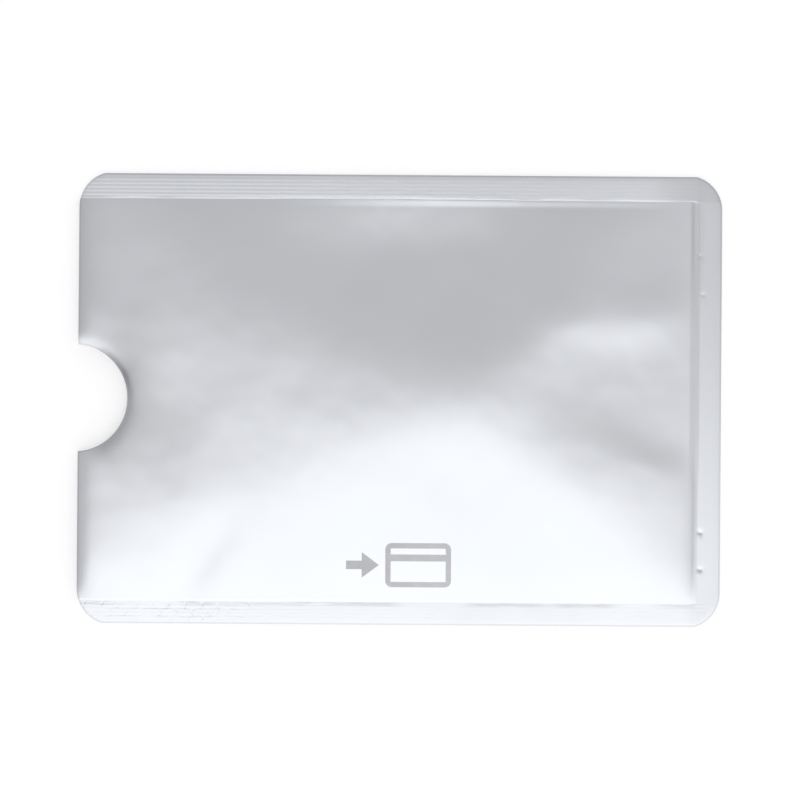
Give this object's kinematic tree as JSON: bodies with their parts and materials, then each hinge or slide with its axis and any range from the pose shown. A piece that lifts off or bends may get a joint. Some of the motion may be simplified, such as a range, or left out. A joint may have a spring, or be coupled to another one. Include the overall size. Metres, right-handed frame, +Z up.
{
  "type": "card sleeve",
  "caption": "Flat foil laminate sleeve for a payment-size card, welded on both long sides and one end, open at the other with a half-round thumb notch.",
  "frame": {"origin": "under the middle of the sleeve, on the plane that its back lies on", "axes": "+X from the open mouth to the closed end, +Y across the sleeve, +Z up through the front sheet"},
  "size_m": [0.09, 0.063, 0.0029],
  "materials": {
    "outer_film": "satin silver",
    "foil": "bright rolled",
    "inner_film": "milky",
    "weld": "fused",
    "print_ink": "matt light grey ink"
  },
  "bodies": {
    "root": {"back_outer_film": "outer_film", "back_foil": "foil", "back_inner_film": "inner_film", "upper_side_weld": "weld", "lower_side_weld": "weld", "closed_end_weld": "weld", "front_inner_film": "inner_film", "front_foil": "foil", "front_outer_film": "outer_film", "printed_mark": "print_ink"}
  },
  "joints": []
}
